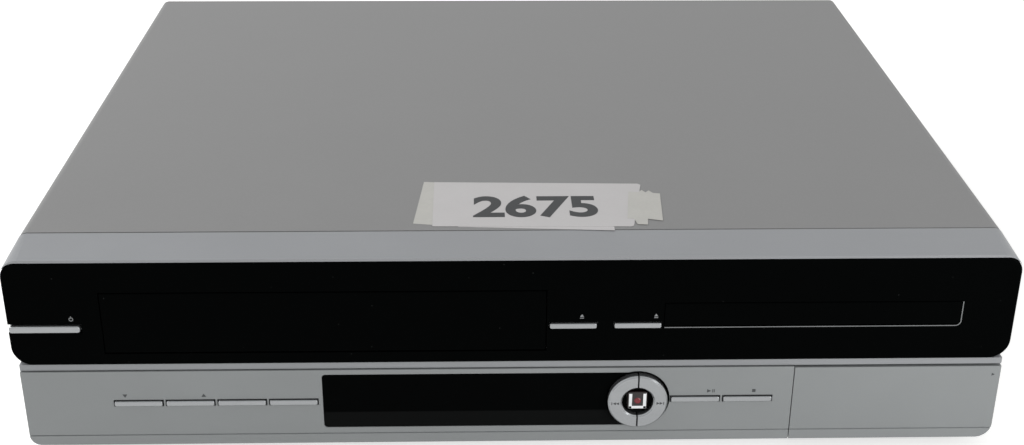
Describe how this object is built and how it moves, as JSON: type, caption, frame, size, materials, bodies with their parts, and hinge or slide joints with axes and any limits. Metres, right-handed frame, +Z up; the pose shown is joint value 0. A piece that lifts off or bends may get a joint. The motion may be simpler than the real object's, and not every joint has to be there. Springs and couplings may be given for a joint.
{
  "type": "dvd vcr combo player",
  "caption": "Full-width disc recorder and cassette player with a sliding disc tray, hinged cassette door, front flap over sockets and working drive and deck inside.",
  "frame": {"origin": "bottom centre of the outer box, on the surface the feet stand on", "axes": "+X across the front to the viewer's right, +Y from the front to the back, +Z up"},
  "size_m": [0.435, 0.369, 0.1003],
  "materials": {
    "grey_enamel": "satin",
    "silver_plastic": "satin",
    "black_gloss": "gloss",
    "smoked_window": "gloss",
    "bright_key": "satin",
    "black_plastic": "matt",
    "beige_plastic": "matt",
    "bare_steel": "zinc plated",
    "turned_metal": "satin",
    "board": "satin",
    "rubber": "matt",
    "display": "gloss"
  },
  "bodies": {
    "case": {"chassis_pan": "bare_steel", "top_cover": "grey_enamel", "rear_panel": "bare_steel", "feet": "rubber", "case_screws": "bare_steel", "fascia_frame": "silver_plastic", "gloss_panel": "black_gloss", "lower_panel": "silver_plastic", "display_window": "smoked_window", "display_tube": "display", "front_boards": "board", "key_switches": "black_plastic", "jack_panel": "black_plastic", "front_jacks": "turned_metal", "loader_frame": "black_plastic", "drive_shell": "bare_steel", "tray_motor": "bare_steel", "tray_belt": "rubber", "deck_chassis": "bare_steel", "lower_drum": "turned_metal", "tape_guides": "turned_metal", "circuit_boards": "board", "board_parts": "black_plastic", "rear_sockets": "black_plastic", "aerial_sockets": "turned_metal", "fan_frame": "black_plastic"},
    "tray": {"disc_tray": "black_plastic", "tray_bezel": "black_gloss"},
    "traverse": {"traverse_frame": "bare_steel", "spindle_motor": "bare_steel", "guide_rods": "bare_steel"},
    "standby_button": {"standby_button": "bright_key"},
    "eject_button": {"eject_button": "bright_key"},
    "open_close_button": {"open_close_button": "bright_key"},
    "channel_down_button": {"channel_down_button": "bright_key"},
    "channel_up_button": {"channel_up_button": "bright_key"},
    "dubbing_button": {"dubbing_button": "bright_key"},
    "deck_select_button": {"deck_select_button": "bright_key"},
    "play_button": {"play_button": "bright_key"},
    "stop_button": {"stop_button": "bright_key"},
    "seek_back_button": {"seek_back_button": "bright_key"},
    "seek_forward_button": {"seek_forward_button": "bright_key"},
    "record_button": {"record_button": "bright_key"},
    "cassette_door": {"cassette_door": "black_gloss"},
    "front_flap": {"front_flap": "silver_plastic"},
    "tray_gear": {"tray_gear": "beige_plastic"},
    "belt_pulley": {"belt_pulley": "beige_plastic"},
    "motor_pulley": {"motor_pulley": "beige_plastic"},
    "turntable": {"turntable": "beige_plastic"},
    "pickup_sled": {"pickup_sled": "turned_metal"},
    "lead_screw": {"lead_screw": "bare_steel"},
    "clamp_puck": {"clamp_puck": "beige_plastic"},
    "loading_slider": {"loading_slider": "bare_steel"},
    "cassette_carrier": {"cassette_carrier": "bare_steel"},
    "supply_reel": {"supply_reel": "beige_plastic"},
    "takeup_reel": {"takeup_reel": "beige_plastic"},
    "head_drum": {"head_drum": "turned_metal"},
    "capstan": {"capstan": "bare_steel"},
    "pinch_roller": {"pinch_roller": "rubber"},
    "fan_rotor": {"fan_rotor": "black_plastic"}
  },
  "joints": [
    {"name": "standby_press", "type": "slide", "parent": "case", "child": "standby_button", "axis": [0, 1, 0], "range_m": [0, 0.0006], "stiffness_N_per_m": 400, "springref_m": -0.002},
    {"name": "eject_press", "type": "slide", "parent": "case", "child": "eject_button", "axis": [0, 1, 0], "range_m": [0, 0.0006], "stiffness_N_per_m": 400, "springref_m": -0.002},
    {"name": "open_close_press", "type": "slide", "parent": "case", "child": "open_close_button", "axis": [0, 1, 0], "range_m": [0, 0.0006], "stiffness_N_per_m": 400, "springref_m": -0.002},
    {"name": "channel_down_press", "type": "slide", "parent": "case", "child": "channel_down_button", "axis": [0, 1, 0], "range_m": [0, 0.0006], "stiffness_N_per_m": 400, "springref_m": -0.002},
    {"name": "channel_up_press", "type": "slide", "parent": "case", "child": "channel_up_button", "axis": [0, 1, 0], "range_m": [0, 0.0006], "stiffness_N_per_m": 400, "springref_m": -0.002},
    {"name": "dubbing_press", "type": "slide", "parent": "case", "child": "dubbing_button", "axis": [0, 1, 0], "range_m": [0, 0.0006], "stiffness_N_per_m": 400, "springref_m": -0.002},
    {"name": "deck_select_press", "type": "slide", "parent": "case", "child": "deck_select_button", "axis": [0, 1, 0], "range_m": [0, 0.0006], "stiffness_N_per_m": 400, "springref_m": -0.002},
    {"name": "play_press", "type": "slide", "parent": "case", "child": "play_button", "axis": [0, 1, 0], "range_m": [0, 0.0006], "stiffness_N_per_m": 400, "springref_m": -0.002},
    {"name": "stop_press", "type": "slide", "parent": "case", "child": "stop_button", "axis": [0, 1, 0], "range_m": [0, 0.0006], "stiffness_N_per_m": 400, "springref_m": -0.002},
    {"name": "seek_back_press", "type": "slide", "parent": "case", "child": "seek_back_button", "axis": [0, 1, 0], "range_m": [0, 0.0006], "stiffness_N_per_m": 400, "springref_m": -0.002},
    {"name": "seek_forward_press", "type": "slide", "parent": "case", "child": "seek_forward_button", "axis": [0, 1, 0], "range_m": [0, 0.0006], "stiffness_N_per_m": 400, "springref_m": -0.002},
    {"name": "record_press", "type": "slide", "parent": "case", "child": "record_button", "axis": [0, 1, 0], "range_m": [0, 0.0006], "stiffness_N_per_m": 400, "springref_m": -0.002},
    {"name": "cassette_door_hinge", "type": "hinge", "parent": "case", "child": "cassette_door", "pos_m": [-0.08185, -0.1763, 0.0854], "axis": [1, 0, 0], "range_deg": [0, 90], "stiffness_Nm_per_rad": 0.01, "springref_deg": -17.19},
    {"name": "front_flap_hinge", "type": "hinge", "parent": "case", "child": "front_flap", "pos_m": [0.1695, -0.1755, 0.0105], "axis": [1, 0, 0], "range_deg": [0, 90]},
    {"name": "tray_slide", "type": "slide", "parent": "case", "child": "tray", "axis": [0, -1, 0], "range_m": [0, 0.135]},
    {"name": "tray_gear_spin", "type": "hinge", "parent": "case", "child": "tray_gear", "pos_m": [0.09715, -0.1555, 0.065], "axis": [0, 0, 1], "range_deg": [0, 660]},
    {"name": "belt_pulley_spin", "type": "hinge", "parent": "case", "child": "belt_pulley", "pos_m": [0.11965, -0.1555, 0.058], "axis": [0, 0, 1], "range_deg": [-1305, 0]},
    {"name": "motor_pulley_spin", "type": "hinge", "parent": "case", "child": "motor_pulley", "pos_m": [0.15515, -0.1555, 0.0566], "axis": [0, 0, 1], "range_deg": [-4530, 0]},
    {"name": "traverse_lift", "type": "hinge", "parent": "case", "child": "traverse", "pos_m": [0.12915, -0.0165, 0.06], "axis": [-1, 0, 0], "range_deg": [0, 6.95]},
    {"name": "turntable_spin", "type": "hinge", "parent": "traverse", "child": "turntable", "pos_m": [0.12915, -0.11177, 0.05644], "axis": [0, -0.1211, 0.9926], "continuous": true},
    {"name": "sled_slide", "type": "slide", "parent": "traverse", "child": "pickup_sled", "axis": [0, 0.9926, 0.1211], "range_m": [0, 0.034]},
    {"name": "lead_screw_spin", "type": "hinge", "parent": "traverse", "child": "lead_screw", "pos_m": [0.15915, -0.06637, 0.05593], "axis": [0, 0.9926, 0.1211], "range_deg": [0, 4110]},
    {"name": "clamp_puck_spin", "type": "hinge", "parent": "case", "child": "clamp_puck", "pos_m": [0.12915, -0.1115, 0.081], "axis": [0, 0, 1], "continuous": true},
    {"name": "carrier_in", "type": "slide", "parent": "case", "child": "loading_slider", "axis": [0, 1, 0], "range_m": [0, 0.052]},
    {"name": "carrier_down", "type": "slide", "parent": "loading_slider", "child": "cassette_carrier", "axis": [0, 0, -1], "range_m": [0, 0.018]},
    {"name": "supply_reel_spin", "type": "hinge", "parent": "case", "child": "supply_reel", "pos_m": [-0.12785, -0.04555, 0.0322], "axis": [0, 0, 1], "continuous": true},
    {"name": "takeup_reel_spin", "type": "hinge", "parent": "case", "child": "takeup_reel", "pos_m": [-0.03585, -0.04555, 0.0322], "axis": [0, 0, 1], "continuous": true},
    {"name": "head_drum_spin", "type": "hinge", "parent": "case", "child": "head_drum", "pos_m": [-0.08185, 0.04545, 0.0316], "axis": [0.0993, 0, 0.9951], "continuous": true},
    {"name": "capstan_spin", "type": "hinge", "parent": "case", "child": "capstan", "pos_m": [-0.02385, 0.01945, 0.026], "axis": [0, 0, 1], "continuous": true},
    {"name": "pinch_roller_spin", "type": "hinge", "parent": "case", "child": "pinch_roller", "pos_m": [-0.01585, 0.02545, 0.036], "axis": [0, 0, 1], "continuous": true},
    {"name": "fan_spin", "type": "hinge", "parent": "case", "child": "fan_rotor", "pos_m": [-0.112, 0.1662, 0.056], "axis": [0, 1, 0], "continuous": true}
  ],
  "couplings": [
    {"joint": "tray_gear_spin", "follows": "tray_slide", "rad_per_m": 83.333},
    {"joint": "belt_pulley_spin", "follows": "tray_slide", "rad_per_m": -166.67},
    {"joint": "motor_pulley_spin", "follows": "tray_slide", "rad_per_m": -583.33},
    {"joint": "lead_screw_spin", "follows": "sled_slide", "rad_per_m": 2094.4}
  ]
}
